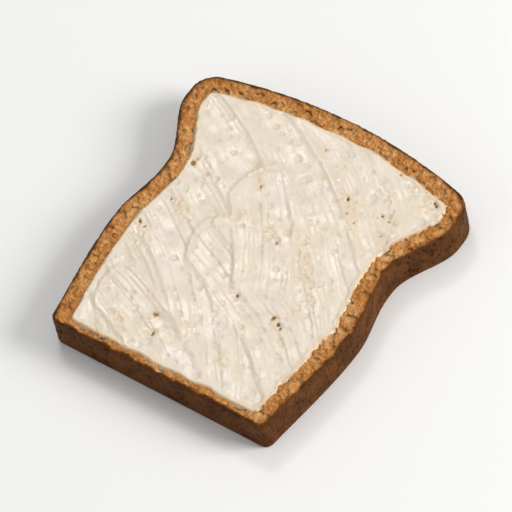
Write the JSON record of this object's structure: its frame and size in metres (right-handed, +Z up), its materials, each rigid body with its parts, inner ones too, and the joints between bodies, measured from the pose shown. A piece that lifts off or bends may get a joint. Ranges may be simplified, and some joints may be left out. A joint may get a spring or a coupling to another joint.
{
  "type": "buttered toast",
  "caption": "Slice of toasted white sandwich bread with flared shoulders and a low arched crown, a raised browned rim, and butter spread over the face inside it.",
  "frame": {"origin": "on the resting plane, under the middle of the slice's box", "axes": "+X across the slice, +Y from the straight bottom edge towards the crown, +Z up out of the buttered face"},
  "size_m": [0.118, 0.1234, 0.015],
  "materials": {
    "toast": "dry, finely porous toasted bread, caramel brown on the rim and darker on the outer crust",
    "butter": "soft pale cream butter with a low sheen and knife marks"
  },
  "bodies": {
    "root": {"bread_slice": "toast", "butter_layer": "butter"}
  },
  "joints": []
}
